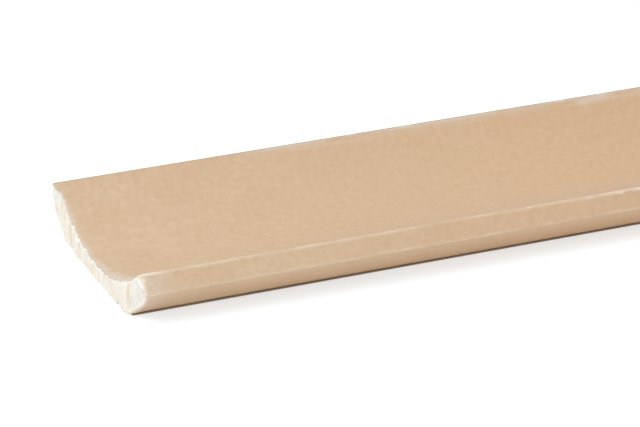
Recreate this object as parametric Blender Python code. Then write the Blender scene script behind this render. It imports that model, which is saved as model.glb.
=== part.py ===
"""A length of paper-faced gypsum cove, the crown moulding between a wall and a ceiling.

It lies on its back with the hollow face up. X runs along it, the wall side is at -Y and the ceiling side
at +Y. The end at -X is hand-sawn and broken, with the paper torn back, and the end at +X is cut square.
"""

import math

import bmesh
import bpy
from mathutils import Matrix, Vector, noise

# The whole length, over the paper
LENGTH = 0.350
PROJECTION = 0.090  # reach down the wall, and out across the ceiling
LANDING = 0.026  # width of each flat that is stuck to the wall or the ceiling
NOSE = 0.011  # width of the square edge beside the hollow face
THROAT = 0.008  # thickness at the middle of the hollow face
CORE_ROUNDING = 0.0002  # radius of the core's corners under the paper
HOLLOW_STEPS = 48  # straight steps along the curve of the hollow face
CORNER_STEPS = 3  # straight steps round each corner
FLAT_ANGLE = math.radians(0.3)  # faces that meet at less than this are one flat
PLACES = 7  # an outline's points are rounded to a ten-thousandth of a millimetre, so that level points agree

# The two papers
PAPER = 0.0005  # thickness of either paper
GLUE_GAP = 0.0003  # clearance between pieces that are stuck together
FOLD = 0.015  # how far the face paper turns in under the back
BACK_INSET = 0.004  # from the corner of the back to the edge of the back paper

# The broken end of the core
SAW_TRACK_PITCH = 0.0036  # from one upright saw track to the next
SAW_TRACK_DEPTH = 0.0005
LUMP_SIZE = 0.007  # distance over which the crumbled gypsum rises and falls
LUMP_DEPTH = 0.0016
CHIP_SIZE = 0.045  # how far round the ceiling-side corner the gypsum has broken away
CHIP_DEPTH = 0.0032

# The torn edge of the papers
TEAR_DEPTH = 0.0024  # how far the face paper has torn back, on the whole
TEAR_SIZE = 0.011  # length of one bay of the tear
JAG_SIZE = 0.003  # length of one jag in a bay
JAG_DEPTH = 0.0012
LANDING_TEAR_DEPTH = 0.0030  # how much further back the paper has torn in the middle of the wall-side landing
BACK_TEAR_DEPTH = 0.0022  # how far the back paper has torn back at the least
CUTTER_CELL = 0.002  # spacing of the points that shape a broken face
CUTTER_MARGIN = 0.004  # how far a cutter reaches past what it cuts

# Places that follow from the sizes above
SLOPE = math.sqrt(0.5)  # both landings stand at 45 degrees to the back
END_X = -LENGTH / 2
FOLD_Z = PAPER + GLUE_GAP  # the folds lie on the back paper
LAYER = GLUE_GAP + PAPER  # from the core to the outside of a paper
BACK_HALF_WIDTH = (PROJECTION - LANDING) * SLOPE
HALF_WIDTH = PROJECTION * SLOPE
LEDGE_Z = FOLD_Z + LANDING * SLOPE
RIM_HALF_WIDTH = (PROJECTION - NOSE) * SLOPE
RIM_Z = LEDGE_Z + NOSE * SLOPE
FOLD_END = BACK_HALF_WIDTH - FOLD

GYPSUM_COLOUR = (0.91, 0.86, 0.77, 1.0)
KRAFT_COLOUR = (0.68, 0.49, 0.33, 1.0)
BACK_PAPER_COLOUR = (0.52, 0.40, 0.29, 1.0)


def clear_scene():
    for thing in list(bpy.data.objects):
        bpy.data.objects.remove(thing)


def new_collection(name):
    collection = bpy.data.collections.new(name)
    bpy.context.scene.collection.children.link(collection)
    return collection


def matte(name, colour, roughness):
    material = bpy.data.materials.new(name)
    material.use_nodes = True
    shader = material.node_tree.nodes["Principled BSDF"]
    shader.inputs["Base Color"].default_value = colour
    shader.inputs["Roughness"].default_value = roughness
    shader.inputs["Metallic"].default_value = 0.0
    return material


def add_object(name, mesh, collection):
    made = bpy.data.objects.new(name, mesh)
    collection.objects.link(made)
    return made


def hollow_curve():
    """Points (y, z) of the hollow face, on the circle through both rims and the throat."""
    sagitta = RIM_Z - THROAT
    radius = (RIM_HALF_WIDTH**2 + sagitta**2) / (2 * sagitta)
    half_angle = math.asin(RIM_HALF_WIDTH / radius)
    angles = [half_angle * (2 * step / HOLLOW_STEPS - 1) for step in range(HOLLOW_STEPS + 1)]
    return [(radius * math.sin(a), THROAT + radius * (1 - math.cos(a))) for a in angles]


def face_line(fold_end=FOLD_END):
    """The outside of the face paper with sharp corners, from the wall-side fold to the other one."""
    near = [(-fold_end, FOLD_Z), (-BACK_HALF_WIDTH, FOLD_Z), (-HALF_WIDTH, LEDGE_Z)]
    far = [(-y, z) for y, z in reversed(near)]
    return near + hollow_curve() + far


def inset(line, distance):
    """The line moved in towards the core by a distance, with its corners kept sharp."""
    points = [Vector(p) for p in line]
    ways = [(b - a).normalized() for a, b in zip(points, points[1:])]
    sides = [Vector((way.y, -way.x)) for way in ways]
    moved = [points[0] + sides[0] * distance]
    for point, before, after in zip(points[1:], sides, sides[1:]):
        middle = (before + after).normalized()
        moved.append(point + middle * (distance / middle.dot(after)))
    moved.append(points[-1] + sides[-1] * distance)
    return [tuple(p) for p in moved]


def rounded(line, radius):
    """The line with an arc of that radius in each corner that turns by more than 45 degrees."""
    points = [Vector(p) for p in line]
    done = [points[0]]
    for before, corner, after in zip(points, points[1:], points[2:]):
        way_in = (corner - before).normalized()
        way_out = (after - corner).normalized()
        turn = way_in.angle(way_out)
        if turn < math.pi / 4:
            done.append(corner)
            continue
        reach = radius * math.tan(turn / 2)
        to_centre = (way_out - way_in).normalized() * (radius / math.cos(turn / 2))
        centre = corner + to_centre
        start = corner - way_in * reach - centre
        clockwise = way_in.cross(way_out) < 0
        for step in range(CORNER_STEPS + 1):
            angle = turn * step / CORNER_STEPS * (-1 if clockwise else 1)
            done.append(centre + Matrix.Rotation(angle, 2) @ start)
    done.append(points[-1])
    return [tuple(p) for p in done]


def extruded(name, outline, collection, material):
    """A closed outline in Y and Z, run along X for the whole length, as a mesh."""
    curve = bpy.data.curves.new(name + "_outline", "CURVE")
    curve.dimensions = "2D"
    curve.fill_mode = "BOTH"
    curve.extrude = LENGTH / 2
    spline = curve.splines.new("POLY")
    spline.points.add(len(outline) - 1)
    for point, (y, z) in zip(spline.points, outline):
        point.co = (round(y, PLACES), round(z, PLACES), 0, 1)
    spline.use_cyclic_u = True
    drawn = add_object(name + "_outline", curve, collection)
    drawn.rotation_euler = (math.pi / 2, 0, math.pi / 2)
    bpy.context.view_layer.update()

    evaluated = drawn.evaluated_get(bpy.context.evaluated_depsgraph_get())
    mesh = bpy.data.meshes.new_from_object(evaluated)
    mesh.name = name
    made = add_object(name, mesh, collection)
    made.matrix_world = drawn.matrix_world
    bpy.data.objects.remove(drawn)
    tidy = bmesh.new()
    tidy.from_mesh(mesh)
    bmesh.ops.remove_doubles(tidy, verts=tidy.verts, dist=GLUE_GAP / 30)
    bmesh.ops.dissolve_limit(tidy, angle_limit=FLAT_ANGLE, verts=tidy.verts, edges=tidy.edges)
    bmesh.ops.recalc_face_normals(tidy, faces=tidy.faces)
    tidy.to_mesh(mesh)
    tidy.free()
    mesh.materials.clear()
    mesh.materials.append(material)
    return made


def unevenness(y, z, size, seed):
    """Smooth noise from 0 to 1 over the end, with bumps of about that size."""
    return min(1.0, max(0.0, 0.5 + noise.noise(Vector((y / size, z / size, seed)))))


def core_break(y, z):
    """How far the gypsum's end lies back from the furthest point of the length."""
    tracks = 0.5 + 0.5 * math.sin(2 * math.pi * y / SAW_TRACK_PITCH)
    lumps = unevenness(y, z, LUMP_SIZE, 1.7)
    from_far_ledge = math.hypot(y - HALF_WIDTH, z - LEDGE_Z)
    chip = max(0.0, 1 - from_far_ledge / CHIP_SIZE)
    return SAW_TRACK_DEPTH * tracks + LUMP_DEPTH * lumps + CHIP_DEPTH * chip


def face_tear(y, z):
    """How far the face paper's torn edge lies back. It reaches out to the very end at the far rim."""
    bays = 0.4 + unevenness(y, z, TEAR_SIZE, 5.3)
    jags = unevenness(y, z, JAG_SIZE, 9.1)
    from_far_rim = math.hypot(y - RIM_HALF_WIDTH, z - RIM_Z)
    kept = min(1.0, from_far_rim / TEAR_SIZE)
    from_near_landing = math.hypot(y + (BACK_HALF_WIDTH + HALF_WIDTH) / 2, z - (FOLD_Z + LEDGE_Z) / 2)
    landing_bay = max(0.0, 1 - from_near_landing / (LANDING / 2))
    return (TEAR_DEPTH * bays + JAG_DEPTH * jags) * kept + LANDING_TEAR_DEPTH * landing_bay


def back_tear(y, z):
    """How far the back paper's edge lies back. It stays behind the gypsum."""
    return BACK_TEAR_DEPTH + JAG_DEPTH * unevenness(y, z, JAG_SIZE, 13.9)


def broken_end_cutter(name, depth, collection):
    """A block over the whole section at the broken end, whose face bites in by depth(y, z)."""
    half_wide = HALF_WIDTH + CUTTER_MARGIN
    low, high = -CUTTER_MARGIN, RIM_Z + CUTTER_MARGIN
    shape = bmesh.new()
    bmesh.ops.create_grid(
        shape,
        x_segments=math.ceil(2 * half_wide / CUTTER_CELL),
        y_segments=math.ceil((high - low) / CUTTER_CELL),
        size=1,
    )
    for vertex in shape.verts:
        y = vertex.co.x * half_wide
        z = low + (vertex.co.y + 1) / 2 * (high - low)
        vertex.co = (END_X + depth(y, z), y, z)
    face = bmesh.ops.extrude_face_region(shape, geom=shape.faces[:])
    for vertex in face["geom"]:
        if isinstance(vertex, bmesh.types.BMVert):
            vertex.co.x = END_X - CUTTER_MARGIN
    bmesh.ops.recalc_face_normals(shape, faces=shape.faces)
    mesh = bpy.data.meshes.new(name)
    shape.to_mesh(mesh)
    shape.free()
    cutter = add_object(name, mesh, collection)
    cutter.hide_render = True
    cutter.display_type = "WIRE"
    return cutter


def cut_with(piece, cutter, solver="EXACT"):
    cut = piece.modifiers.new("broken_end", "BOOLEAN")
    cut.operation = "DIFFERENCE"
    cut.solver = solver
    cut.object = cutter


def make_gypsum_core(collection, cutters):
    """The cast core: the section inside the face paper, with a shallow step in its back beside each fold.

    Its back is level over both folds, and the exact solver loses the sliver that runs between them.
    """
    step_y = FOLD_END - GLUE_GAP
    over_folds = rounded(inset(face_line(step_y), LAYER), CORE_ROUNDING)
    between_folds = [(step_y, LAYER), (-step_y, LAYER)]
    outline = over_folds + between_folds
    core = extruded("gypsum_core", outline, collection, matte("gypsum", GYPSUM_COLOUR, 0.95))
    cut_with(core, broken_end_cutter("core_cutter", core_break, cutters), solver="MANIFOLD")


def make_face_paper(collection, cutters):
    """One sheet over the hollow face, both noses and both landings, folded in under the back."""
    outside = rounded(face_line(), CORE_ROUNDING + LAYER)
    inside = rounded(inset(face_line(), PAPER), CORE_ROUNDING + GLUE_GAP)
    outline = outside + inside[::-1]
    paper = extruded("face_paper", outline, collection, matte("face_kraft", KRAFT_COLOUR, 0.8))
    cut_with(paper, broken_end_cutter("face_cutter", face_tear, cutters))


def make_back_paper(collection, cutters):
    """The flat sheet under the back, stuck over both folds."""
    half_wide = BACK_HALF_WIDTH - BACK_INSET
    outline = [(-half_wide, 0), (half_wide, 0), (half_wide, PAPER), (-half_wide, PAPER)]
    paper = extruded("back_paper", outline, collection, matte("back_kraft", BACK_PAPER_COLOUR, 0.85))
    cut_with(paper, broken_end_cutter("back_cutter", back_tear, cutters))


clear_scene()
pieces = new_collection("crown_moulding_piece")
cutter_pieces = new_collection("cutters")
make_gypsum_core(pieces, cutter_pieces)
make_face_paper(pieces, cutter_pieces)
make_back_paper(pieces, cutter_pieces)
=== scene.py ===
import math

import bmesh
import bpy
import numpy as np
from mathutils import Matrix, Vector, noise


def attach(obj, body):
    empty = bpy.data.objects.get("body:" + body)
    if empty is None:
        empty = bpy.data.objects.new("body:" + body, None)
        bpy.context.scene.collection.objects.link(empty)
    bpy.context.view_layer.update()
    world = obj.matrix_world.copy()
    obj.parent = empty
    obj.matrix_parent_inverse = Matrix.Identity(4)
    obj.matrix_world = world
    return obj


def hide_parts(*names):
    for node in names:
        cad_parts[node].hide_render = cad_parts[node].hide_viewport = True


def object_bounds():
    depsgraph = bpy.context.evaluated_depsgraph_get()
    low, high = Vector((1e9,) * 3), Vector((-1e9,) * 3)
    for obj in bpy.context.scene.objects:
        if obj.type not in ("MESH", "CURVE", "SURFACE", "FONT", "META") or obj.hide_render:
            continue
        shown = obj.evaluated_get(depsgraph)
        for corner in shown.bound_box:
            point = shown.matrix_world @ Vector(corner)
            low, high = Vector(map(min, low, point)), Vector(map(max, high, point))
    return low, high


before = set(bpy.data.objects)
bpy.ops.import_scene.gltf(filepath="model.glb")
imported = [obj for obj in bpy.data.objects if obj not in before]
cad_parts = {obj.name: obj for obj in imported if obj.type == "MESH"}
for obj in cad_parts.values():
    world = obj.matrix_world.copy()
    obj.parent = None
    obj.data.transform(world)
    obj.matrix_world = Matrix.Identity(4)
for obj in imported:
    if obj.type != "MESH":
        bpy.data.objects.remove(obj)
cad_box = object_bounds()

# Gypsum core
# The body of the cove: aerated gypsum plaster, cast between two sheets of paper in lengths of a few metres.
# This piece was sawn off by hand at one end, which left upright saw tracks and a crumbled corner. Its other
# end is cut square with a fine saw.
MM = 0.001
PROJECTION = 90 * MM
LANDING = 26 * MM
NOSE = 11 * MM
THROAT = 8 * MM
FOLD = 15 * MM
BEND = 1.0 * MM  # outside radius of the paper round a corner of the core
PAPER = 0.48 * MM
HAIRLINE = 0.02 * MM  # left open between touching sheets
GLUE_LINE = 0.3 * MM  # of adhesive between the back paper and the folds that it covers
SLOPE = math.sqrt(0.5)
START = cad_box[0][0]
END = cad_box[1][0]
FOLD_HEIGHT = PAPER + GLUE_LINE + HAIRLINE
FOLD_CORNER = 0.8 * MM  # of the folds over the floor in the solids, which sets the landings' height
LEDGE_HEIGHT = FOLD_CORNER + LANDING * SLOPE
LEDGE_OUT = PROJECTION * SLOPE
BACK_OUT = LEDGE_OUT - (LEDGE_HEIGHT - FOLD_HEIGHT)
RIM_OUT = (PROJECTION - NOSE) * SLOPE
RIM_HEIGHT = LEDGE_HEIGHT + NOSE * SLOPE
CORE_COLUMNS = 440
CORE_ROWS = 48
CORE_STEPS = 18
FINE_REACH = 14 * MM  # how far in from the sawn end the surface is modelled finely
MERGE = 0.002 * MM  # between points that are one
HOLLOW_POINTS = 160  # on the hollow, from rim to rim
OUTLINE_POINTS = 3000  # round the face paper, from which the core takes its shape


def hollow_points(steps):
    """Points of the hollow face from rim to rim, on the circle through both rims and the throat."""
    sagitta = RIM_HEIGHT - THROAT
    radius = (RIM_OUT**2 + sagitta**2) / (2 * sagitta)
    half = math.asin(RIM_OUT / radius)
    turns = np.linspace(-half, half, steps)
    return np.column_stack([radius * np.sin(turns), THROAT + radius * (1 - np.cos(turns))])


def bent_line(corners, radius, steps=8):
    """A line of points with an arc of that radius in every corner sharper than 45 degrees."""
    points = [Vector(p) for p in corners]
    done = [points[0]]
    for before, corner, after in zip(points, points[1:], points[2:]):
        way_in = (corner - before).normalized()
        way_out = (after - corner).normalized()
        turn = way_in.angle(way_out)
        if turn < math.pi / 4:
            done.append(corner)
            continue
        centre = corner + (way_out - way_in).normalized() * (radius / math.cos(turn / 2))
        spoke = corner - way_in * (radius * math.tan(turn / 2)) - centre
        side = -1 if way_in.cross(way_out) < 0 else 1
        for step in range(steps + 1):
            done.append(centre + Matrix.Rotation(side * turn * step / steps, 2) @ spoke)
    done.append(points[-1])
    return np.array([tuple(p) for p in done])


def evenly(line, count):
    """The line as that many points at even distances, the distances, and the inward normals."""
    lengths = np.hypot(*np.diff(line, axis=0).T)
    run = np.concatenate([[0], np.cumsum(lengths)])
    distance = np.linspace(0, run[-1], count)
    points = np.column_stack([np.interp(distance, run, line[:, k]) for k in (0, 1)])
    way = np.gradient(points, axis=0)
    way /= np.hypot(way[:, 0], way[:, 1])[:, None]
    return points, distance, np.column_stack([way[:, 1], -way[:, 0]])


near_half = [
    (-(BACK_OUT - FOLD), FOLD_HEIGHT),
    (-BACK_OUT, FOLD_HEIGHT),
    (-LEDGE_OUT, LEDGE_HEIGHT),
]
far_half = [(-y, z) for y, z in reversed(near_half)]
hollow_line = hollow_points(HOLLOW_POINTS)
face_outline = bent_line(near_half + [tuple(p) for p in hollow_line] + far_half, BEND)


def rough(a, b, size, seed):
    """Smooth noise from 0 to 1, with bumps of about that size, at arrays of places."""
    a, b = np.broadcast_arrays(a, b)
    places = zip(a.ravel() / size, b.ravel() / size)
    values = np.array([0.5 + noise.noise(Vector((p, q, seed))) for p, q in places])
    return np.clip(values, 0, 1).reshape(a.shape)


# Places across the foot of the sawn end, from the wall side to the ceiling side, and how far back it lies
FOOT = MM * np.array(
    [
        (-64, 0.5), (-56, -0.4), (-52, -0.4), (-49, 0.1), (-46, 0.1), (-43, -0.2), (-36, -0.4), (-25, 0),
        (-15, 0), (-5, 0.2), (10, 0.6), (21, 0.4), (36, 1.2), (46, 2.4), (54, 1.0), (64, 0.8),
    ]
)
END_LEAN = 0.035  # the end leans back by this share of its height
TRACK_PITCH = 1.9 * MM  # between one upright saw track and the next
TRACK_DEPTH = 0.45 * MM
SCORE_DEPTH = 0.22 * MM
CHIP_REACH = 14 * MM  # round the ceiling-side ledge
CHIP_DEPTH = 1.2 * MM
ARRIS_REACH = 7 * MM  # in from the wall-side landing, whose arris crumbled
ARRIS_DEPTH = 3.2 * MM
CRUMBLE_DEPTH = 0.9 * MM
CRUMBLE_FALL = 0.9 * MM
CRUMBLE_HEIGHT = 3 * MM  # below the face
CRUMBLED = (-50 * MM, -15 * MM)  # the stretch of the rim that crumbled away
CRUMBLED_FADE = 6 * MM
CRUMB_DEPTH = 1.1 * MM
LUMP_DEPTH = 0.5 * MM
GRAIN_DEPTH = 0.16 * MM
GRAIN = 0.9 * MM
PIT_DEPTH = 0.1 * MM
PIT_SIZE = 0.8 * MM
RIM_DUST = 2.2 * MM  # of whiter gypsum below the torn paper


def slumped(y):
    """From 0 to 1, where the rim of the sawn end has crumbled away under the paper."""
    first, last = CRUMBLED
    return np.clip((last - y) / CRUMBLED_FADE, 0, 1) * np.clip((y - first) / CRUMBLED_FADE, 0, 1)


def sawn_end(y, z):
    """How far the gypsum's sawn end lies back at each place."""
    lie = np.interp(y, *FOOT.T) + END_LEAN * z
    slant = y + 0.10 * z
    tracks = rough(slant, z / 14, TRACK_PITCH, 3.1)
    scores = rough(slant, z / 10, TRACK_PITCH / 3, 8.7)
    lumps = rough(y, z, 5 * MM, 21.4)
    grain = rough(y, z, GRAIN, 33.3)
    chip = np.clip(1 - np.hypot(y - LEDGE_OUT, z - LEDGE_HEIGHT) / CHIP_REACH, 0, 1)
    from_landing = (y + z + LEDGE_OUT - LEDGE_HEIGHT) * SLOPE
    arris = np.clip(1 - from_landing / ARRIS_REACH, 0, 1) ** 1.5 * np.clip((z - 2 * MM) / (5 * MM), 0, 1)
    torn = TRACK_DEPTH * (2 * tracks - 1) + SCORE_DEPTH * (2 * scores - 1)
    torn += CHIP_DEPTH * chip + ARRIS_DEPTH * arris
    below_face = np.interp(y, *hollow_line.T) - z
    torn += CRUMBLE_DEPTH * slumped(y) * np.clip(1.2 - below_face / CRUMBLE_HEIGHT, 0, 1) * (0.4 + lumps)
    return np.maximum(lie + torn + LUMP_DEPTH * lumps + GRAIN_DEPTH * grain, 0.02 * MM)


def square_end(y, z):
    """Faint upright marks of a fine saw on the square end."""
    marks = rough(y, z / 20, 0.8 * MM, 51.0)
    return 0.06 * MM * marks + 0.03 * MM * rough(y, z, GRAIN, 57.0)


def quads_of(rows, columns, start):
    """Quads of a grid of points numbered row by row."""
    row, column = np.meshgrid(np.arange(rows - 1), np.arange(columns - 1), indexing="ij")
    a = start + row * columns + column
    return np.stack([a, a + 1, a + columns + 1, a + columns], axis=-1).reshape(-1, 4)


def skin_of_grids(name, grids, values=()):
    """One closed mesh from grids of points that share their edges, with named values at the points."""
    points = np.concatenate([grid.reshape(-1, 3) for grid in grids])
    starts = np.cumsum([0] + [grid.shape[0] * grid.shape[1] for grid in grids])
    quads = [quads_of(grid.shape[0], grid.shape[1], start) for grid, start in zip(grids, starts)]
    mesh = bpy.data.meshes.new(name)
    mesh.from_pydata(points.tolist(), [], np.concatenate(quads).tolist())
    for key, layers in dict(values).items():
        layer = mesh.attributes.new(key, "FLOAT", "POINT")
        layer.data.foreach_set("value", np.concatenate([v.ravel() for v in layers]))
    shape = bmesh.new()
    shape.from_mesh(mesh)
    bmesh.ops.remove_doubles(shape, verts=shape.verts, dist=MERGE)
    bmesh.ops.dissolve_degenerate(shape, edges=shape.edges, dist=MERGE / 4)
    bmesh.ops.recalc_face_normals(shape, faces=shape.faces)
    shape.to_mesh(mesh)
    shape.free()
    return mesh


def gypsum_core():
    outside, _, inward = evenly(face_outline, OUTLINE_POINTS)
    line = outside + inward * (PAPER + HAIRLINE)
    first = np.argmin(line[: len(line) // 2, 0])
    last = len(line) // 2 + np.argmax(line[len(line) // 2 :, 0])
    columns = np.linspace(line[first, 0], line[last, 0], CORE_COLUMNS)
    upper = line[first : last + 1]
    step = BACK_OUT - FOLD - HAIRLINE
    flat = np.array([(-step, PAPER + HAIRLINE), (step, PAPER + HAIRLINE)])
    lower = np.concatenate([line[: first + 1][::-1], flat, line[last:][::-1]])
    top = np.interp(columns, upper[:, 0], upper[:, 1])
    bottom = np.interp(columns, lower[:, 0], lower[:, 1])
    for side in (0, -1):
        top[side] = bottom[side] = (top[side] + bottom[side]) / 2

    share = np.linspace(0, 1, CORE_ROWS)[:, None]
    crumbs = rough(columns, 0, 1.6 * MM, 71.0) * rough(columns, 0, 6 * MM, 74.0)
    fallen = CRUMB_DEPTH * crumbs + CRUMBLE_FALL * slumped(columns)
    rim_top = top - np.minimum(fallen, (top - bottom) * 0.15)
    end_y = np.broadcast_to(columns, (CORE_ROWS, CORE_COLUMNS))
    end_z = bottom + (rim_top - bottom) * share
    end_x = START + sawn_end(end_y, end_z)
    sawn = np.stack([end_x, end_y, end_z], axis=-1)

    reach = np.linspace(0, 1, CORE_STEPS)[:, None] ** 2.2
    fade = np.exp(-reach * FINE_REACH / (1.1 * MM))
    skin_y = np.broadcast_to(columns, (CORE_STEPS, CORE_COLUMNS))
    upper_x = end_x[-1] + (START + FINE_REACH - end_x[-1]) * reach
    lower_x = end_x[0] + (START + FINE_REACH - end_x[0]) * reach
    pits = PIT_DEPTH * rough(upper_x, skin_y, PIT_SIZE, 91.0) * (1 - fade)
    pits[:, [0, -1]] = 0
    upper_z = top - (top - rim_top) * fade - pits
    lower_z = np.broadcast_to(bottom, lower_x.shape)

    square_z = bottom + (top - bottom) * share
    square_x = END - square_end(end_y, square_z)
    square = np.stack([square_x, end_y, square_z], axis=-1)
    upper_skin = np.concatenate([np.stack([upper_x, skin_y, upper_z], axis=-1), square[-1:]])
    lower_skin = np.concatenate([np.stack([lower_x, skin_y, lower_z], axis=-1), square[:1]])
    grids = [sawn, square, upper_skin, lower_skin]
    is_sawn = [np.ones(sawn.shape[:2]), np.ones(square.shape[:2])]
    is_sawn += [np.zeros(upper_skin.shape[:2]), np.zeros(lower_skin.shape[:2])]
    near_face = [np.clip(1 - (rim_top - end_z) / RIM_DUST, 0, 1)]
    near_face += [np.zeros(grid.shape[:2]) for grid in grids[1:]]
    return skin_of_grids("gypsum_core_cast", grids, {"sawn": is_sawn, "near_face": near_face})


def linear(hex_colour):
    """An sRGB hex colour as the linear values that Blender's sockets take."""
    parts = [int(hex_colour[k : k + 2], 16) / 255 for k in (1, 3, 5)]
    return [c / 12.92 if c <= 0.04045 else ((c + 0.055) / 1.055) ** 2.4 for c in parts] + [1.0]


def node(tree, kind, inputs=(), links=(), **settings):
    """Adds a node with its settings, its inputs' values and the links into them."""
    made = tree.nodes.new(kind)
    for key, value in settings.items():
        setattr(made, key, value)
    for key, value in dict(inputs).items():
        made.inputs[key].default_value = value
    for key, socket in dict(links).items():
        tree.links.new(socket, made.inputs[key])
    return made


# The sockets of a colour Mix node, which Blender numbers
FACTOR, FIRST, SECOND, MIXED = 0, 6, 7, 2


def smeared_dust(tree, place, bands):
    """Where dust lies on the sawn end: the broken arris, the far ledge and just under the face paper."""
    parts = node(tree, "ShaderNodeSeparateXYZ", {}, {0: place})
    x, y, z = parts.outputs
    behind = node(
        tree,
        "ShaderNodeMath",
        {0: -2.1, 2: 2.1 * START},
        {1: x},
        operation="MULTIPLY_ADD",
    ).outputs[0]
    aside = node(tree, "ShaderNodeMath", {}, {0: y, 1: behind}, operation="ADD").outputs[0]
    border = node(tree, "ShaderNodeMath", {1: 3 * MM}, {0: bands, 2: aside}, operation="MULTIPLY_ADD")
    near_dust = node(
        tree,
        "ShaderNodeMapRange",
        {1: -46 * MM, 2: -52 * MM},
        {0: border.outputs[0]},
    ).outputs[0]
    thick = node(tree, "ShaderNodeMapRange", {1: 0.42, 2: 0.58, 3: 0.65, 4: 1.0}, {0: bands}).outputs[0]
    near_dust = node(tree, "ShaderNodeMath", {}, {0: near_dust, 1: thick}, operation="MULTIPLY").outputs[0]
    far_out = node(tree, "ShaderNodeMapRange", {1: 48 * MM, 2: 52 * MM}, {0: y}).outputs[0]
    far_up = node(tree, "ShaderNodeMapRange", {1: 13 * MM, 2: 17 * MM}, {0: z}).outputs[0]
    far_dust = node(tree, "ShaderNodeMath", {}, {0: far_out, 1: far_up}, operation="MULTIPLY").outputs[0]
    at_sawn_end = node(
        tree,
        "ShaderNodeMapRange",
        {1: START + 16 * MM, 2: START + 12 * MM},
        {0: x},
    ).outputs[0]
    dust = node(tree, "ShaderNodeMath", {}, {0: near_dust, 1: far_dust}, operation="MAXIMUM").outputs[0]
    dust = node(tree, "ShaderNodeMath", {}, {0: dust, 1: at_sawn_end}, operation="MULTIPLY").outputs[0]
    dust = node(tree, "ShaderNodeMath", {1: 0.78}, {0: dust}, operation="MULTIPLY").outputs[0]
    # Crumbs just below the torn paper
    near_face = node(tree, "ShaderNodeAttribute", attribute_name="near_face").outputs["Fac"]
    crumbs = node(tree, "ShaderNodeTexNoise", {"Scale": 1 / (1.6 * MM), "Detail": 2.0}, {"Vector": place})
    crumbled = node(
        tree,
        "ShaderNodeMapRange",
        {1: 0.42, 2: 0.60, 4: 0.9},
        {0: crumbs.outputs[0]},
    ).outputs[0]
    crumbled = node(
        tree,
        "ShaderNodeMath",
        {},
        {0: near_face, 1: crumbled},
        operation="MULTIPLY",
    ).outputs[0]
    return node(tree, "ShaderNodeMath", {}, {0: dust, 1: crumbled}, operation="MAXIMUM").outputs[0]


def aerated_gypsum():
    """Aerated gypsum plaster, broken and sawn: dead matt, cream to chalk white, with bubbles under 1 mm.

    Dust fills the saw tracks, so that upright bands of cream and white alternate every 2 or 3 mm. The
    skin that was cast against the paper is whiter and smoother than the sawn end.
    """
    material = bpy.data.materials.new("aerated_gypsum_sawn")
    material.use_nodes = True
    tree = material.node_tree
    shader = tree.nodes["Principled BSDF"]
    shader.inputs["Roughness"].default_value = 0.95
    shader.inputs["Specular IOR Level"].default_value = 0.2
    shader.inputs["IOR"].default_value = 1.52
    place = node(tree, "ShaderNodeTexCoord").outputs["Object"]
    upright = node(tree, "ShaderNodeMapping", {"Scale": (0.3, 1, 0.05)}, {"Vector": place}).outputs[0]
    bands = node(tree, "ShaderNodeTexNoise", {"Scale": 1 / (2.0 * MM), "Detail": 3.0}, {"Vector": upright})
    banded = node(tree, "ShaderNodeMapRange", {1: 0.42, 2: 0.56}, {0: bands.outputs[0]})
    clouds = node(tree, "ShaderNodeTexNoise", {"Scale": 1 / (7 * MM), "Detail": 4.0}, {"Vector": place})
    clouded = node(tree, "ShaderNodeMapRange", {1: 0.42, 2: 0.66}, {0: clouds.outputs[0]})
    sawn = node(tree, "ShaderNodeAttribute", attribute_name="sawn").outputs["Fac"]
    cream = node(
        tree,
        "ShaderNodeMix",
        {FIRST: linear("#DFD1BF"), SECOND: linear("#ECE3D6")},
        {FACTOR: banded.outputs[0]},
        data_type="RGBA",
    )
    chalk = node(
        tree,
        "ShaderNodeMix",
        {SECOND: linear("#E3E1D9")},
        {FACTOR: clouded.outputs[0], FIRST: cream.outputs[MIXED]},
        data_type="RGBA",
    )
    dust = smeared_dust(tree, place, bands.outputs[0])
    powdered = node(
        tree,
        "ShaderNodeMix",
        {SECOND: linear("#E4E3DC")},
        {FACTOR: dust, FIRST: chalk.outputs[MIXED]},
        data_type="RGBA",
    )
    body = node(
        tree,
        "ShaderNodeMix",
        {FIRST: linear("#ECEAE4")},
        {FACTOR: sawn, SECOND: powdered.outputs[MIXED]},
        data_type="RGBA",
    )
    tree.links.new(body.outputs[MIXED], shader.inputs["Base Color"])

    bubbles = node(tree, "ShaderNodeTexVoronoi", {"Scale": 1 / (1.3 * MM)}, {"Vector": place})
    hollows = node(tree, "ShaderNodeMapRange", {1: 0.15, 2: 0.32}, {0: bubbles.outputs["Distance"]})
    grains = node(tree, "ShaderNodeTexNoise", {"Scale": 1 / (0.35 * MM), "Detail": 3.0}, {"Vector": place})
    relief = node(
        tree,
        "ShaderNodeMath",
        {},
        {0: hollows.outputs[0], 1: grains.outputs[0]},
        operation="ADD",
    )
    bump = node(
        tree,
        "ShaderNodeBump",
        {"Strength": 0.7, "Distance": 0.12 * MM},
        {"Height": relief.outputs[0]},
    )
    tree.links.new(bump.outputs[0], shader.inputs["Normal"])
    return material


core = bpy.data.objects.new("gypsum_core_cast", gypsum_core())
bpy.context.scene.collection.objects.link(core)
core.data.materials.append(aerated_gypsum())
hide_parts("gypsum_core")
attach(core, "root")

# Face paper
# Tan kraft liner of a few plies, which the wet gypsum bonded to as the cove was cast. One sheet covers the
# hollow face, both square noses and both landings and is folded in under the back. At the sawn end it tore
# back unevenly, and in places its outer plies came away and bared the paler ones below.
SHEET_COLUMNS = 900
RUN_STEPS = 14  # stations along the sheet past its torn end
INNER_PLIES = 0.24 * MM
LIFT = 0.10 * MM  # how far a loose outer ply stands up

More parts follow.
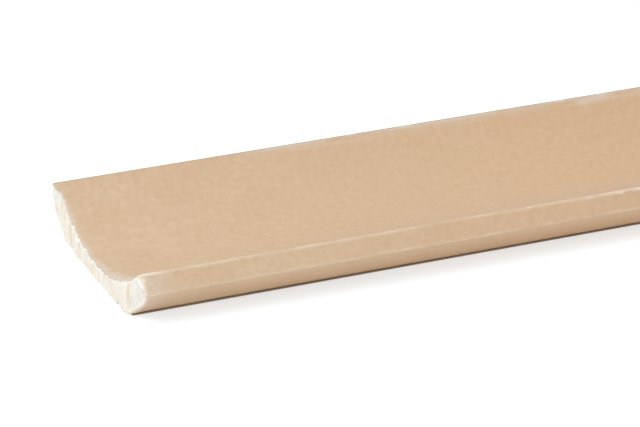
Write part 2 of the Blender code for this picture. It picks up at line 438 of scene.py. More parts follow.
# Places across the sheet, from the middle of the hollow, and how far back the paper has torn there
TORN = MM * np.array(
    [
        (-112, 0.4), (-97, 0.6), (-94.5, 1.4), (-92.5, 3.0), (-90.8, 4.4), (-89, 5.3), (-86.3, 5.6),
        (-81.6, 5.2), (-76.7, 3.9), (-71.3, 2.2), (-67, 2.7), (-64, 2.5), (-62.5, 1.9), (-61, 1.0),
        (-57, 0.6), (-53, 1.1), (-48, 1.6), (-41, 1.2), (-34, 0.4), (-24, 0.8), (-17, 0.4),
        (-13.5, 0.8), (-8.5, 1.5), (-4, 1.3),
        (0.5, 1.7), (2, 2.4), (5, 1.3), (9, 1.8), (12.7, 2.4), (16.5, 2.0), (22, 2.2), (29, 2.4),
        (32.4, 2.9), (33.8, 2.1), (36, 2.2), (39, 2.4), (43.6, 2.8), (44.7, 1.5), (47.2, 1.7), (50, 2.0),
        (52.6, 2.9), (54, 2.8), (55.2, 1.7), (57, 0.9), (58.5, 0.3), (59.5, 0.1), (60.4, 0.3), (61.4, 2.6),
        (63, 4.2), (71, 4.8), (85, 4.8), (97, 4.2), (112, 3.6),
    ]
)
# Places across the sheet, and how much further the outer plies have come away there
PEELED = MM * np.array(
    [
        (-112, 2.4), (-98, 2.8), (-95, 2.6), (-93, 1.9), (-91, 0.8), (-88, 0.5), (-80, 0.3), (-66, 0.3),
        (-64, 0.8), (-62, 2.0), (-57, 2.6), (-52, 2.8), (-46, 4.2), (-38, 5.5), (-30, 6.2), (-24, 6.0),
        (-18, 5.2), (-12, 4.4), (-6, 3.4), (0, 1.6), (4, 0.5), (8, 1.2), (11, 2.2), (14, 1.2),
        (22, 0.5), (31, 0.4), (34, 1.8), (38, 2.4), (44, 0.8), (50, 0.3), (60, 0.1), (112, 0.6),
    ]
)
SETBACK = 0.05 * MM  # of the torn paper behind the gypsum along the hollow, at the least
DROOP = 0.7 * MM  # of the bared plies over the crumbled rim
SWELL = 0.75 * MM  # of the loosened plies at the wall-side fold
SWELLED = (-108 * MM, -91 * MM)  # the stretch across the sheet where they stand off
SWELL_FADE = 4 * MM


def face_sheet():
    outside, distance, inward = evenly(face_outline, SHEET_COLUMNS)
    across = distance - distance[-1] / 2
    torn = np.interp(across, *TORN.T)
    ragged = np.interp(np.abs(across), [58 * MM, 62 * MM], [1, 0.25])
    torn += 0.7 * MM * ragged * (rough(across, 0, 1.8 * MM, 111.0) - 0.5)
    torn += 0.5 * MM * ragged * (rough(across, 0, 0.6 * MM, 117.0) - 0.5)
    held = sawn_end(outside[:, 0], outside[:, 1]) + SETBACK
    torn = np.where(np.abs(across + 4 * MM) < 59 * MM, np.maximum(torn, held), torn)
    peeled = np.interp(across, *PEELED.T) * (0.4 + 1.2 * rough(across, 0, 2.6 * MM, 123.0))
    peeled += 0.5 * MM * rough(across, 0, 0.7 * MM, 129.0)
    edge = START + np.maximum(torn, 0.05 * MM)
    lip = edge + np.maximum(peeled, 0.3 * MM)

    loose = np.clip(peeled / (1.6 * MM), 0.1, 1) * rough(across, 0, 4 * MM, 135.0)
    over_hollow = np.clip((RIM_OUT - np.abs(outside[:, 0])) / (6 * MM), 0.1, 1)
    lift = LIFT * loose * over_hollow
    first, last = SWELLED
    swell = SWELL * np.clip((last - across) / SWELL_FADE, 0, 1)
    swell *= np.clip((across - first) / SWELL_FADE, 0, 1)
    droop = DROOP * slumped(outside[:, 0])

    def placed(x, depth):
        sunk = depth + droop * np.exp(-(x - edge) / (0.9 * MM))
        return np.column_stack([np.broadcast_to(x, across.shape), outside + inward * sunk[:, None]])

    # From the torn edge up over the inner plies, under the loose lip, over it and along the sheet
    stations = [
        (edge, 0.05 * MM, 0, 1),
        (edge + 0.12 * MM, INNER_PLIES * 0.7, 0, 1),
        ((edge + lip) / 2, INNER_PLIES, 0, 0.85),
        (lip - 0.1 * MM, INNER_PLIES * 1.05, 0, 0.6),
        (lip, INNER_PLIES * 1.2, 0.6, 0.5),
        (lip + 0.25 * MM, PAPER * 0.9, 1, 0.35),
        (lip + 0.8 * MM, PAPER, 0.8, 0.15),
        (lip + 1.4 * MM, PAPER, 0.5, 0.05),
        (lip + 2.4 * MM, PAPER, 0.2, 0),
        (lip + 4.0 * MM, PAPER, 0, 0),
    ]
    fray = 0.12 * MM * rough(across, 0, 0.5 * MM, 141.0)
    for share in np.linspace(0, 1, RUN_STEPS):
        run_start = START + FINE_REACH
        stations.append((run_start + (END - fray - run_start) * share, PAPER, 0, 0))

    outer, inner, bared = [], [], []
    for x, thickness, lifted, bare in stations:
        sheet_top = placed(x, PAPER - thickness - lift * lifted)
        sheet_top[:, 2] -= swell * np.exp(-(x - edge) / (3 * MM))
        outer.append(sheet_top)
        bared.append(np.full(across.shape, float(bare)))
    under_x = [s[0] for s in stations]
    under_x[3] = lip
    under_x[4] = lip + 0.1 * MM
    under_x[5] = lip + 0.2 * MM
    for x in under_x:
        inner.append(placed(x, np.full(across.shape, PAPER)))
    outer = np.array(outer)
    inner = np.array(inner)[::-1]
    bared = np.array(bared)
    torn_wall = np.stack([inner[-1], outer[0]])
    cut_wall = np.stack([outer[-1], inner[0]])
    near_fold = np.stack([outer[:, 0], inner[::-1, 0]])
    far_fold = np.stack([outer[:, -1], inner[::-1, -1]])
    grids = [outer, inner, torn_wall, cut_wall, near_fold, far_fold]
    steps = len(stations)
    wide = np.broadcast_to(across, (steps, SHEET_COLUMNS))
    pair = np.broadcast_to(across, (2, SHEET_COLUMNS))
    across_values = [wide, wide, pair, pair]
    across_values += [np.full((2, steps), across[0]), np.full((2, steps), across[-1])]
    bared_values = [bared, bared * 0, pair * 0 + 1, pair * 0]
    bared_values += [np.zeros((2, steps)), np.zeros((2, steps))]
    mesh = skin_of_grids("face_paper_sheet", grids, {"across": across_values, "bared": bared_values})
    edge_line = placed(edge, np.full(across.shape, PAPER * 0.8))
    return mesh, across, edge_line, inward


face_mesh, sheet_across, torn_edge, sheet_inward = face_sheet()
rim_place = float(np.abs(sheet_across[np.argmax(evenly(face_outline, SHEET_COLUMNS)[0][:, 1])]))
ledge_place = rim_place + NOSE


def kraft_pulp(tree, x, sheet, mottle, fibres):
    """The unworn liner: clouded, with pale fibres and dark flecks, and browner towards the square end as
    painted shade.
    """
    clouds = node(tree, "ShaderNodeTexNoise", {"Scale": 1 / (28 * MM), "Detail": 3.0}, {"Vector": sheet})
    flecks = node(tree, "ShaderNodeTexVoronoi", {"Scale": 1 / (4.5 * MM)}, {"Vector": sheet})

    clouded = node(tree, "ShaderNodeMapRange", {1: 0.3, 2: 0.7}, {0: clouds.outputs[0]})
    faded = node(
        tree,
        "ShaderNodeMix",
        {FIRST: linear("#C9AF92"), SECOND: linear("#CEB69B")},
        {FACTOR: clouded.outputs[0]},
        data_type="RGBA",
    )
    # Painted shade: browner towards the square end, standing in for the light falling off away from the
    # sawn end
    falloff_painted_shade = node(tree, "ShaderNodeMapRange", {1: -150 * MM, 2: 150 * MM}, {0: x})
    tone = node(
        tree,
        "ShaderNodeMix",
        {SECOND: linear("#CAAB8B")},
        {FACTOR: falloff_painted_shade.outputs[0], FIRST: faded.outputs[MIXED]},
        data_type="RGBA",
    )
    mottled = node(tree, "ShaderNodeMapRange", {1: 0.3, 2: 0.7, 4: 0.45}, {0: mottle})
    speckled = node(
        tree,
        "ShaderNodeMix",
        {SECOND: linear("#BD9C7A")},
        {FACTOR: mottled.outputs[0], FIRST: tone.outputs[MIXED]},
        data_type="RGBA",
    )
    streaked = node(tree, "ShaderNodeMapRange", {1: 0.52, 2: 0.75, 4: 0.35}, {0: fibres})
    fibrous = node(
        tree,
        "ShaderNodeMix",
        {SECOND: linear("#D6BC9F")},
        {FACTOR: streaked.outputs[0], FIRST: speckled.outputs[MIXED]},
        data_type="RGBA",
    )
    dark_fleck = node(
        tree,
        "ShaderNodeMapRange",
        {1: 0.08, 2: 0.04, 4: 0.22},
        {0: flecks.outputs["Distance"]},
    )
    flecked = node(
        tree,
        "ShaderNodeMix",
        {SECOND: linear("#9C7B5B")},
        {FACTOR: dark_fleck.outputs[0], FIRST: fibrous.outputs[MIXED]},
        data_type="RGBA",
    )
    return flecked.outputs[MIXED]


def dusted_and_shaded(tree, pulp, x, across, mottle):
    """The liner with plaster dust on it, and painted shade: a shade darker on the noses and browner on the
    landings.
    """
    # A greyer bloom of plaster dust on the wall side of the hollow, more of it away from the sawn end
    bloom_side = node(tree, "ShaderNodeMapRange", {1: -6 * MM, 2: -30 * MM}, {0: across}).outputs[0]
    bloom_end = node(
        tree,
        "ShaderNodeMapRange",
        {1: -40 * MM, 2: -58 * MM, 3: 1, 4: 0},
        {0: across},
    ).outputs[0]
    bloom_along = node(tree, "ShaderNodeMapRange", {1: -110 * MM, 2: 60 * MM, 4: 0.36}, {0: x}).outputs[0]
    bloom = node(tree, "ShaderNodeMath", {}, {0: bloom_side, 1: bloom_end}, operation="MULTIPLY").outputs[0]
    bloom = node(tree, "ShaderNodeMath", {}, {0: bloom, 1: bloom_along}, operation="MULTIPLY").outputs[0]
    uneven = node(tree, "ShaderNodeMapRange", {1: 0.3, 2: 0.7, 3: 0.6, 4: 1.2}, {0: mottle}).outputs[0]
    bloom = node(tree, "ShaderNodeMath", {}, {0: bloom, 1: uneven}, operation="MULTIPLY").outputs[0]
    bloom_and_shade = node(
        tree,
        "ShaderNodeMix",
        {SECOND: linear("#BEAA9C")},
        {FACTOR: bloom, FIRST: pulp},
        data_type="RGBA",
    ).outputs[MIXED]

    # More of it lies beside the sawn end, on the wall side
    end_side = node(tree, "ShaderNodeMapRange", {1: -28 * MM, 2: -42 * MM, 4: 0.34}, {0: across}).outputs[0]
    end_along = node(tree, "ShaderNodeMapRange", {1: START + 20 * MM, 2: START + 7 * MM}, {0: x}).outputs[0]
    end_bloom = node(
        tree,
        "ShaderNodeMath",
        {},
        {0: end_side, 1: end_along},
        operation="MULTIPLY",
    ).outputs[0]
    bloom_and_shade = node(
        tree,
        "ShaderNodeMix",
        {SECOND: linear("#D0C8BE")},
        {FACTOR: end_bloom, FIRST: bloom_and_shade},
        data_type="RGBA",
    ).outputs[MIXED]

    # Painted shade: the noses are a shade darker than the hollow, and the landings browner and darker
    # towards their folds, where they near the floor
    outward = node(tree, "ShaderNodeMath", {}, {0: across}, operation="ABSOLUTE").outputs[0]
    nose_painted_shade = node(
        tree,
        "ShaderNodeMapRange",
        {1: rim_place, 2: rim_place + 1 * MM},
        {0: outward},
    ).outputs[0]
    past_ledge = node(
        tree,
        "ShaderNodeMapRange",
        {1: ledge_place, 2: ledge_place + LANDING, 3: 0.25, 4: 1.0},
        {0: outward},
    ).outputs[0]
    on_landing = node(
        tree,
        "ShaderNodeMath",
        {1: ledge_place},
        {0: outward},
        operation="GREATER_THAN",
    ).outputs[0]
    brown = node(
        tree,
        "ShaderNodeMath",
        {},
        {0: past_ledge, 1: on_landing},
        operation="MULTIPLY",
    ).outputs[0]
    for amount, filtering in ((nose_painted_shade, "#FBFAFA"), (brown, "#FDF3EA")):
        bloom_and_shade = node(
            tree,
            "ShaderNodeMix",
            {SECOND: linear(filtering)},
            {FACTOR: amount, FIRST: bloom_and_shade},
            data_type="RGBA",
            blend_type="MULTIPLY",
        ).outputs[MIXED]
    return bloom_and_shade


def rubbed_corners_and_rim_shade(tree, paper, x, across, sheet, along):
    """The liner rubbed pale along every corner, the rims most, with a thin painted shade line on the far
    crest.
    """
    outward = node(tree, "ShaderNodeMath", {}, {0: across}, operation="ABSOLUTE").outputs[0]
    waver = node(tree, "ShaderNodeTexNoise", {"Scale": 1 / (14 * MM), "Detail": 2.0}, {"Vector": sheet})
    wander = node(tree, "ShaderNodeMapRange", {3: -0.7 * MM, 4: 0.7 * MM}, {0: waver.outputs[0]})
    wavy = node(tree, "ShaderNodeMath", {}, {0: outward, 1: wander.outputs[0]}, operation="ADD").outputs[0]
    rub_noise = node(tree, "ShaderNodeTexNoise", {"Scale": 1 / (3 * MM), "Detail": 4.0}, {"Vector": along})
    near_side = node(tree, "ShaderNodeMath", {1: 0.0}, {0: across}, operation="LESS_THAN").outputs[0]
    far_side = node(tree, "ShaderNodeMath", {1: 0.0}, {0: across}, operation="GREATER_THAN").outputs[0]
    far_along = node(tree, "ShaderNodeMapRange", {1: -78 * MM, 2: -55 * MM}, {0: x}).outputs[0]
    near_along = node(tree, "ShaderNodeMapRange", {1: 60 * MM, 2: 78 * MM}, {0: x}).outputs[0]
    near_end = node(tree, "ShaderNodeMapRange", {1: START + 18 * MM, 2: START + 6 * MM}, {0: x}).outputs[0]
    patchy = node(tree, "ShaderNodeTexNoise", {"Scale": 1 / (16 * MM), "Detail": 3.0}, {"Vector": sheet})
    uneven_wear = node(
        tree,
        "ShaderNodeMapRange",
        {1: 0.35, 2: 0.62, 3: 0.35, 4: 1.1},
        {0: patchy.outputs[0]},
    ).outputs[0]
    # Where, how wide, how strong, how broken up, on which side, from where along the piece and how pale
    rubs = [
        (rim_place + 0.1 * MM, 1.8 * MM, 0.54, (0.28, 0.58), near_side, uneven_wear, "#DFCDBA"),
        (rim_place + 0.4 * MM, 2.8 * MM, 0.22, (0.40, 0.60), near_side, near_along, "#E0D0BF"),
        (ledge_place + 0.2 * MM, 1.5 * MM, 0.50, (0.10, 0.45), near_side, uneven_wear, "#E2CCB2"),
        (rim_place, 1.6 * MM, 0.85, (0.15, 0.45), near_side, near_end, "#E8DBCB"),
        (rim_place - 2.6 * MM, 3.6 * MM, 0.30, (0.28, 0.62), far_side, far_along, "#CEC5B6"),
        (rim_place - 0.9 * MM, 1.6 * MM, 0.45, (0.25, 0.55), far_side, far_along, "#D0C9C4"),
        (ledge_place, 0.9 * MM, 0.50, (0.25, 0.55), far_side, uneven_wear, "#DECAB0"),
    ]
    worn_and_shaded = paper
    for corner, width, strength, spread, side, along_piece, pale in rubs:
        off = node(tree, "ShaderNodeMath", {1: corner}, {0: wavy}, operation="SUBTRACT").outputs[0]
        away = node(tree, "ShaderNodeMath", {}, {0: off}, operation="ABSOLUTE").outputs[0]
        band = node(
            tree,
            "ShaderNodeMapRange",
            {1: width, 2: width * 0.35, 4: strength},
            {0: away},
        ).outputs[0]
        rubbed = node(tree, "ShaderNodeMapRange", {1: spread[0], 2: spread[1]}, {0: rub_noise.outputs[0]})
        amount = node(
            tree,
            "ShaderNodeMath",
            {},
            {0: band, 1: rubbed.outputs[0]},
            operation="MULTIPLY",
        ).outputs[0]
        amount = node(tree, "ShaderNodeMath", {}, {0: amount, 1: side}, operation="MULTIPLY").outputs[0]
        amount = node(
            tree,
            "ShaderNodeMath",
            {},
            {0: amount, 1: along_piece},
            operation="MULTIPLY",
        ).outputs[0]
        worn_and_shaded = node(
            tree,
            "ShaderNodeMix",
            {SECOND: linear(pale)},
            {FACTOR: amount, FIRST: worn_and_shaded},
            data_type="RGBA",
        ).outputs[MIXED]

    # Painted shade: a thin darker line along the far rim's crest, where the paper turns away from the light
    off = node(tree, "ShaderNodeMath", {1: rim_place}, {0: across}, operation="SUBTRACT").outputs[0]
    away = node(tree, "ShaderNodeMath", {}, {0: off}, operation="ABSOLUTE").outputs[0]
    far_rim_painted_shade = node(tree, "ShaderNodeMapRange", {1: 1.0 * MM, 2: 0.4 * MM, 4: 0.6}, {0: away}).outputs[0]
    worn_and_shaded = node(
        tree,
        "ShaderNodeMix",
        {SECOND: linear("#A59886")},
        {FACTOR: far_rim_painted_shade, FIRST: worn_and_shaded},
        data_type="RGBA",
    ).outputs[MIXED]
    return worn_and_shaded


def scuffed(tree, worn_and_shaded, sheet):
    """The liner with small chips and scuffs at both rims."""
    # Where along the piece and across, how long and wide, how strong and of what colour
    ragged = node(
        tree,
        "ShaderNodeTexNoise",
        {"Scale": 1 / (1.2 * MM), "Detail": 3.0},
        {"Vector": sheet},
    ).outputs[0]
    chips = [
        (37 * MM, -rim_place - 0.6 * MM, 1.6 * MM, 0.8 * MM, 0.38, "#E2DAD1"),
        (71 * MM, -rim_place - 0.8 * MM, 3.2 * MM, 1.2 * MM, 0.36, "#E2DAD1"),
        (89 * MM, -rim_place - 1.3 * MM, 2.4 * MM, 1.0 * MM, 0.36, "#E2DAD1"),
        (100 * MM, -rim_place - 0.7 * MM, 4.0 * MM, 1.2 * MM, 0.48, "#E2DAD1"),
        (139 * MM, rim_place - 0.9 * MM, 4.5 * MM, 1.5 * MM, 0.60, "#CDC5BE"),
        (135 * MM, rim_place - 2.5 * MM, 11 * MM, 2.8 * MM, 0.42, "#D1C8BE"),
        (127 * MM, rim_place - 4.5 * MM, 3.6 * MM, 2.6 * MM, 0.32, "#D6CABE"),
        (-128 * MM, -rim_place - 0.4 * MM, 8.0 * MM, 1.0 * MM, 0.22, "#E2D6CC"),
        (-62 * MM, -rim_place - 0.2 * MM, 7.0 * MM, 1.0 * MM, 0.22, "#E2D6CC"),
        (-10 * MM, rim_place - 0.7 * MM, 4.0 * MM, 0.9 * MM, 0.40, "#DAD3CC"),
        (22 * MM, rim_place - 0.7 * MM, 5.0 * MM, 0.9 * MM, 0.40, "#DAD3CC"),
        (114 * MM, rim_place - 0.7 * MM, 3.5 * MM, 0.9 * MM, 0.50, "#DAD3CC"),
    ]
    for chip_x, chip_across, length, width, strength, colour in chips:
        middle = (-chip_x / length, -chip_across / width, 0)
        centred = node(
            tree,
            "ShaderNodeMapping",
            {"Location": middle, "Scale": (1 / length, 1 / width, 1)},
            {"Vector": sheet},
        )
        away = node(
            tree,
            "ShaderNodeVectorMath",
            {},
            {0: centred.outputs[0]},
            operation="LENGTH",
        ).outputs["Value"]
        uneven = node(
            tree,
            "ShaderNodeMath",
            {1: 1.6},
            {0: ragged, 2: away},
            operation="MULTIPLY_ADD",
        ).outputs[0]
        chip = node(tree, "ShaderNodeMapRange", {1: 2.0, 2: 1.1, 4: strength}, {0: uneven}).outputs[0]
        worn_and_shaded = node(
            tree,
            "ShaderNodeMix",
            {SECOND: linear(colour)},
            {FACTOR: chip, FIRST: worn_and_shaded},
            data_type="RGBA",
        ).outputs[MIXED]
    return worn_and_shaded


def bared_plies(tree, across, fluff):
    """The inner plies: paler and pinker than the outer ones, and palest past the wall-side rim."""
    ply = node(
        tree,
        "ShaderNodeMix",
        {FIRST: linear("#C8B7A2"), SECOND: linear("#D5C8B8")},
        {FACTOR: fluff},
        data_type="RGBA",
    )
    folded = node(tree, "ShaderNodeMapRange", {1: -55 * MM, 2: -60 * MM, 4: 0.85}, {0: across})
    ply = node(
        tree,
        "ShaderNodeMix",
        {SECOND: linear("#EADCCB")},
        {FACTOR: folded.outputs[0], FIRST: ply.outputs[MIXED]},
        data_type="RGBA",
    )
    return ply.outputs[MIXED]


def kraft_liner():
    """Kraft liner, machine-made from brown pulp with some recycled fibre: matt, soft and slightly mottled.

    Its fibres lie mostly along the length. Handling has rubbed it pale along every corner, and the plies
    that a tear bares are paler, pinker and fuzzy.
    """
    material = bpy.data.materials.new("kraft_liner_tan")
    material.use_nodes = True
    tree = material.node_tree
    shader = tree.nodes["Principled BSDF"]
    shader.inputs["Roughness"].default_value = 0.86
    shader.inputs["Specular IOR Level"].default_value = 0.25
    shader.inputs["IOR"].default_value = 1.5
    place = node(tree, "ShaderNodeTexCoord").outputs["Object"]
    x = node(tree, "ShaderNodeSeparateXYZ", {}, {0: place}).outputs[0]
    across = node(tree, "ShaderNodeAttribute", attribute_name="across").outputs["Fac"]
    bared = node(tree, "ShaderNodeAttribute", attribute_name="bared").outputs["Fac"]
    sheet = node(tree, "ShaderNodeCombineXYZ", {}, {0: x, 1: across}).outputs[0]
    along = node(tree, "ShaderNodeMapping", {"Scale": (0.12, 1, 1)}, {0: sheet}).outputs[0]
    mottle = node(tree, "ShaderNodeTexNoise", {"Scale": 1 / (3.8 * MM), "Detail": 4.0}, {"Vector": sheet})
    fibres = node(tree, "ShaderNodeTexNoise", {"Scale": 1 / (0.5 * MM), "Detail": 2.0}, {"Vector": along})
    fluff = node(tree, "ShaderNodeTexNoise", {"Scale": 1 / (0.7 * MM), "Detail": 4.0}, {"Vector": sheet})
    paper = kraft_pulp(tree, x, sheet, mottle.outputs[0], fibres.outputs[0])
    paper = dusted_and_shaded(tree, paper, x, across, mottle.outputs[0])
    paper = rubbed_corners_and_rim_shade(tree, paper, x, across, sheet, along)
    paper = scuffed(tree, paper, sheet)
    plies = bared_plies(tree, across, fluff.outputs[0])
    body = node(
        tree,
        "ShaderNodeMix",
        {},
        {FACTOR: bared, FIRST: paper, SECOND: plies},
        data_type="RGBA",
    )
    tree.links.new(body.outputs[MIXED], shader.inputs["Base Color"])

    fuzz = node(tree, "ShaderNodeMath", {}, {0: fluff.outputs[0], 1: bared}, operation="MULTIPLY")
    grain = node(tree, "ShaderNodeMath", {1: 0.6}, {0: mottle.outputs[0]}, operation="MULTIPLY")
    felt = node(tree, "ShaderNodeMath", {}, {0: fibres.outputs[0], 1: grain.outputs[0]}, operation="ADD")
    relief = node(tree, "ShaderNodeMath", {}, {0: felt.outputs[0], 1: fuzz.outputs[0]}, operation="ADD")
    bump = node(
        tree,
        "ShaderNodeBump",
        {"Strength": 0.5, "Distance": 0.05 * MM},
        {"Height": relief.outputs[0]},
    )
    tree.links.new(bump.outputs[0], shader.inputs["Normal"])
    return material


kraft = kraft_liner()
face = bpy.data.objects.new("face_paper_sheet", face_mesh)
bpy.context.scene.collection.objects.link(face)
face.data.materials.append(kraft)
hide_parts("face_paper")
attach(face, "root")

# Torn fibres
# Pulp fibres that stand out of the torn edge over the hollow, where the plies pulled apart: each under a
# millimetre long, a little curled, and pointing off the edge at many angles.
FIBRE_SPACING = 0.15 * MM
FIBRE_LENGTH = 0.8 * MM
FIBRE_RADIUS = 0.022  # as a share of each fibre's length
FIBRES_REACH = 57 * MM  # to either side of the middle of the sheet, so not past the rims


def fibre_tree():
    tree = bpy.data.node_groups.new("torn_fibres", "GeometryNodeTree")
    for label, kind in (("Geometry", "Geometry"), ("Spacing", "Float"), ("Thickness", "Float")):
        tree.interface.new_socket(label, in_out="INPUT", socket_type="NodeSocket" + kind)
    tree.interface.new_socket("Material", in_out="INPUT", socket_type="NodeSocketMaterial")
    tree.interface.new_socket("Geometry", in_out="OUTPUT", socket_type="NodeSocketGeometry")
    given = node(tree, "NodeGroupInput").outputs

    bent = node(
        tree,
        "GeometryNodeCurveQuadraticBezier",
        {"Resolution": 4, "Start": (0, 0, 0), "Middle": (0.5, 0, 0.16), "End": (1, 0, -0.06)},
    )
    position = node(tree, "GeometryNodeSplineParameter").outputs["Factor"]
    taper = node(tree, "ShaderNodeMapRange", {3: 1.0, 4: 0.35}, {0: position})
    tapered = node(
        tree,
        "GeometryNodeSetCurveRadius",
        {},
        {"Curve": bent.outputs[0], "Radius": taper.outputs[0]},
    )
    ring = node(tree, "GeometryNodeCurvePrimitiveCircle", {"Resolution": 3}, {"Radius": given["Thickness"]})
    fibre = node(
        tree,
        "GeometryNodeCurveToMesh",
        {"Fill Caps": True},
        {"Curve": tapered.outputs[0], "Profile Curve": ring.outputs[0]},
    )

    edge = node(tree, "GeometryNodeMeshToCurve", {}, {0: given["Geometry"]})
    stops = node(
        tree,
        "GeometryNodeResampleCurve",
        {},
        {"Curve": edge.outputs[0], "Length": given["Spacing"]},
        mode="LENGTH",
    )
    slope = node(tree, "GeometryNodeInputNamedAttribute", {"Name": "slope"}, data_type="FLOAT").outputs[0]
    reach = node(tree, "GeometryNodeInputNamedAttribute", {"Name": "reach"}, data_type="FLOAT").outputs[0]
    aim = node(
        tree,
        "FunctionNodeRandomValue",
        {0: (-1, -0.9, -0.05), 1: (-0.5, 0.9, 0.55), "Seed": 11},
        data_type="FLOAT_VECTOR",
    ).outputs[0]
    laid = node(tree, "ShaderNodeVectorRotate", {}, {"Vector": aim, "Angle": slope}, rotation_type="X_AXIS")
    turned = node(tree, "FunctionNodeAlignRotationToVector", {}, {"Vector": laid.outputs[0]}, axis="X")
    share = node(tree, "FunctionNodeRandomValue", {2: 0.35, 3: 1.0, "Seed": 12}).outputs[1]
    length = node(tree, "ShaderNodeMath", {}, {0: reach, 1: share}, operation="MULTIPLY")
    placed = node(
        tree,
        "GeometryNodeInstanceOnPoints",
        {},
        {
            "Points": stops.outputs[0],
            "Instance": fibre.outputs[0],
            "Rotation": turned.outputs[0],
            "Scale": length.outputs[0],
        },
    )
    real = node(tree, "GeometryNodeRealizeInstances", {}, {0: placed.outputs[0]})
    coated = node(
        tree, "GeometryNodeSetMaterial", {}, {"Geometry": real.outputs[0], "Material": given["Material"]}
    )
    node(tree, "NodeGroupOutput", {}, {0: coated.outputs[0]})
    return tree


def torn_fibres():
    over_hollow = np.abs(sheet_across) < FIBRES_REACH
    line = torn_edge[over_hollow]
    reach = np.clip(line[:, 0] - START - 0.05 * MM, 0.1 * MM, FIBRE_LENGTH)
    slope = np.arctan2(-sheet_inward[over_hollow, 0], sheet_inward[over_hollow, 1])
    guide = bpy.data.meshes.new("torn_edge_line")
    guide.from_pydata(line.tolist(), [(k, k + 1) for k in range(len(line) - 1)], [])
    for key, values in (("reach", reach), ("slope", slope + np.pi)):
        guide.attributes.new(key, "FLOAT", "POINT").data.foreach_set("value", values)
    grown = bpy.data.objects.new("torn_paper_fibres", guide)
    bpy.context.scene.collection.objects.link(grown)
    fluff = bpy.data.materials.new("kraft_fibre_pale")
    fluff.use_nodes = True
    shader = fluff.node_tree.nodes["Principled BSDF"]
    shader.inputs["Base Color"].default_value = linear("#DCCDBD")
    shader.inputs["Roughness"].default_value = 0.9
    shader.inputs["Specular IOR Level"].default_value = 0.2
    shader.inputs["IOR"].default_value = 1.5
    tree = fibre_tree()
    growth = grown.modifiers.new("torn_fibres", "NODES")
    growth.node_group = tree
    sockets = {item.name: item.identifier for item in tree.interface.items_tree if item.in_out == "INPUT"}
    growth[sockets["Spacing"]] = FIBRE_SPACING
    growth[sockets["Thickness"]] = FIBRE_RADIUS
    growth[sockets["Material"]] = fluff
    evaluated = grown.evaluated_get(bpy.context.evaluated_depsgraph_get())
    plain = bpy.data.meshes.new_from_object(evaluated)
    grown.modifiers.remove(growth)
    grown.data = plain
    return grown


fibres = torn_fibres()
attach(fibres, "root")

# Back paper
# A narrower sheet of rougher grey-brown liner, flat on the underside, that covers the core between the
# folds of the face paper and is stuck down over both. It tore off behind the gypsum at the sawn end.
BACK_WIDTH_OUT = BACK_OUT - 4 * MM
BACK_COLUMNS = 280


def back_sheet():
    y = np.linspace(-BACK_WIDTH_OUT, BACK_WIDTH_OUT, BACK_COLUMNS)
    torn = 0.9 * MM * rough(y, 0, 3 * MM, 151.0) + 0.5 * MM * rough(y, 0, 0.7 * MM, 157.0) - 0.12 * MM
    torn += 1.6 * MM * np.clip((y - 18 * MM) / (8 * MM), 0, 1)
    edge = START + np.maximum(sawn_end(y, PAPER + HAIRLINE) + torn, 0.1 * MM)
    fray = 0.1 * MM * rough(y, 0, 0.6 * MM, 163.0)
    stations = [edge + 0.25 * MM, edge + 1 * MM]
    stations += [START + FINE_REACH + (END - fray - START - FINE_REACH) * s for s in np.linspace(0, 1, 8)]
    under_edge = np.column_stack([edge, y, np.full(y.shape, 0.3 * PAPER)])
    over_folds = np.abs(y) > BACK_OUT - FOLD
    upper = PAPER + np.where(over_folds, GLUE_LINE, 0)
    top = [np.column_stack([x, y, upper]) for x in stations]
    low = [np.column_stack([x, y, np.zeros(y.shape)]) for x in stations]
    top = np.array([under_edge] + top)
    low = np.array([under_edge] + low)[::-1]
    sides = [np.stack([top[:, k], low[::-1, k]]) for k in (0, -1)]
    grids = [top, low, np.stack([top[-1], low[0]])] + sides
    return skin_of_grids("back_paper_sheet", grids)


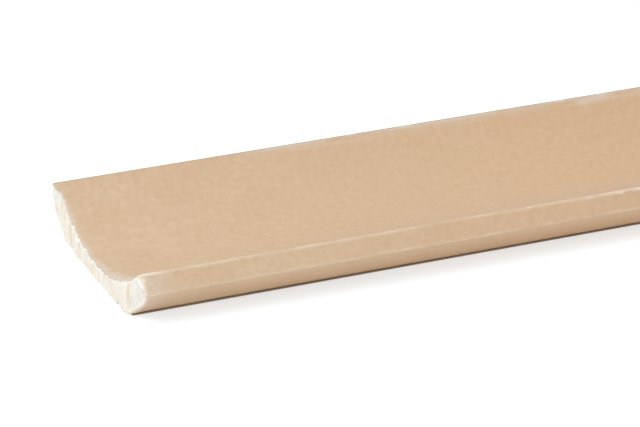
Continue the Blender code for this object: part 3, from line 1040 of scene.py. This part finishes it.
def back_liner():
    """Grey-brown back liner, made from recycled fibre: matt, coarser and more speckled than the face."""
    material = bpy.data.materials.new("recycled_liner_grey_brown")
    material.use_nodes = True
    tree = material.node_tree
    shader = tree.nodes["Principled BSDF"]
    shader.inputs["Roughness"].default_value = 0.9
    shader.inputs["Specular IOR Level"].default_value = 0.2
    shader.inputs["IOR"].default_value = 1.5
    place = node(tree, "ShaderNodeTexCoord").outputs["Object"]
    along = node(tree, "ShaderNodeMapping", {"Scale": (0.15, 1, 1)}, {0: place}).outputs[0]
    mottle = node(tree, "ShaderNodeTexNoise", {"Scale": 1 / (3 * MM), "Detail": 5.0}, {"Vector": place})
    fibres = node(tree, "ShaderNodeTexNoise", {"Scale": 1 / (0.5 * MM), "Detail": 3.0}, {"Vector": along})
    tone = node(
        tree,
        "ShaderNodeMix",
        {FIRST: linear("#A08B74"), SECOND: linear("#B5A18A")},
        {FACTOR: mottle.outputs[0]},
        data_type="RGBA",
    )
    streaked = node(tree, "ShaderNodeMapRange", {1: 0.5, 2: 0.75, 4: 0.5}, {0: fibres.outputs[0]})
    body = node(
        tree,
        "ShaderNodeMix",
        {SECOND: linear("#C6B7A3")},
        {FACTOR: streaked.outputs[0], FIRST: tone.outputs[MIXED]},
        data_type="RGBA",
    )
    # Its torn edge shows paler plies
    along_x = node(tree, "ShaderNodeSeparateXYZ", {}, {0: place}).outputs[0]
    torn = node(
        tree,
        "ShaderNodeMapRange",
        {1: START + 5 * MM, 2: START + 2 * MM, 4: 0.85},
        {0: along_x},
    ).outputs[0]
    edged = node(
        tree,
        "ShaderNodeMix",
        {SECOND: linear("#DCD0BF")},
        {FACTOR: torn, FIRST: body.outputs[MIXED]},
        data_type="RGBA",
    )
    tree.links.new(edged.outputs[MIXED], shader.inputs["Base Color"])
    bump = node(
        tree,
        "ShaderNodeBump",
        {"Strength": 0.6, "Distance": 0.06 * MM},
        {"Height": fibres.outputs[0]},
    )
    tree.links.new(bump.outputs[0], shader.inputs["Normal"])
    return material


back = bpy.data.objects.new("back_paper_sheet", back_sheet())
bpy.context.scene.collection.objects.link(back)
back.data.materials.append(back_liner())
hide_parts("back_paper")
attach(back, "root")

# Floor, light and camera
# A plain white floor under soft studio light from all round, a little stronger from above on the left, and
# the camera that looks down on the piece past its sawn end. The floor glows faintly, painted light that
# lightens its shadows, and a tan strip under the piece is painted shade.
bpy.context.scene.view_settings.view_transform = "Standard"
FLOOR_HALF = 4.0
UNDER = (START + 2.8 * MM, END - 1 * MM, BACK_OUT + 0.8 * MM)  # from, to and half width of the shaded strip
corners = [(side * FLOOR_HALF, end * FLOOR_HALF) for side, end in ((-1, -1), (1, -1), (1, 1), (-1, 1))]
corners += [(UNDER[0], -UNDER[2]), (UNDER[1], -UNDER[2]), (UNDER[1], UNDER[2]), (UNDER[0], UNDER[2])]
floor_mesh = bpy.data.meshes.new("floor")
floor_mesh.from_pydata(
    [(x, y, -0.02 * MM) for x, y in corners],
    [],
    [(0, 1, 5, 4), (1, 2, 6, 5), (2, 3, 7, 6), (3, 0, 4, 7), (4, 5, 6, 7)],
)
floor = bpy.data.objects.new("floor", floor_mesh)
bpy.context.scene.collection.objects.link(floor)
white = linear("#CBCBCB")
# Painted shade: the strip of floor under the piece is tan and does not glow, standing in for the brown
# contact shadow there
painted_tan_shade = linear("#CEBDAA")  # the strip of floor that only the paper lights
for name, glow, colour in (("white_floor_glowing", 0.555, white), ("floor_painted_shade", 0.0, painted_tan_shade)):
    floor_paint = bpy.data.materials.new(name)
    floor_paint.use_nodes = True
    floor_shader = floor_paint.node_tree.nodes["Principled BSDF"]
    floor_shader.inputs["Base Color"].default_value = colour
    # Painted light: the floor glows faintly bluish, which lightens and cools its shadows; the strip under
    # the piece has no glow
    floor_shader.inputs["Emission Color"].default_value = linear("#EFF9FF")
    floor_shader.inputs["Emission Strength"].default_value = glow
    floor_shader.inputs["Roughness"].default_value = 1.0
    floor_shader.inputs["Specular IOR Level"].default_value = 0.0
    floor_mesh.materials.append(floor_paint)
floor_mesh.polygons[4].material_index = 1

world = bpy.data.worlds.new("white_studio")
bpy.context.scene.world = world
world.use_nodes = True
world.node_tree.nodes["Background"].inputs["Color"].default_value = (1, 1, 1, 1)
world.node_tree.nodes["Background"].inputs["Strength"].default_value = 0.83

SOFTBOX_AT = Vector((-1.1, -0.2, 2.1))
softbox_light = bpy.data.lights.new("softbox", "AREA")
softbox_light.shape = "RECTANGLE"
softbox_light.size = 1.8
softbox_light.size_y = 1.8
softbox_light.energy = 26
softbox = bpy.data.objects.new("softbox", softbox_light)
softbox.location = SOFTBOX_AT
softbox.rotation_euler = SOFTBOX_AT.to_track_quat("Z", "Y").to_euler()
bpy.context.scene.collection.objects.link(softbox)

CAMERA_AT = Vector((-0.76493, -1.49927, 0.80649))
LOOK_DOWN = math.radians(25.536)
LOOK_RIGHT = math.radians(25.441)
ROLL = math.radians(1.794)
FOCAL_LENGTH = 205.05  # on a sensor 36 mm wide
forward = Vector(
    (
        math.sin(LOOK_RIGHT) * math.cos(LOOK_DOWN),
        math.cos(LOOK_RIGHT) * math.cos(LOOK_DOWN),
        -math.sin(LOOK_DOWN),
    )
)
level = Vector((math.cos(LOOK_RIGHT), -math.sin(LOOK_RIGHT), 0))
upward = level.cross(forward)
camera_right = level * math.cos(ROLL) + upward * math.sin(ROLL)
camera_up = upward * math.cos(ROLL) - level * math.sin(ROLL)
lens = bpy.data.cameras.new("camera")
lens.sensor_width = 36
lens.sensor_fit = "HORIZONTAL"
lens.lens = FOCAL_LENGTH
camera = bpy.data.objects.new("camera", lens)
turned = Matrix((camera_right, camera_up, -forward)).transposed()
camera.matrix_world = Matrix.Translation(CAMERA_AT) @ turned.to_4x4()
bpy.context.scene.collection.objects.link(camera)
bpy.context.scene.camera = camera
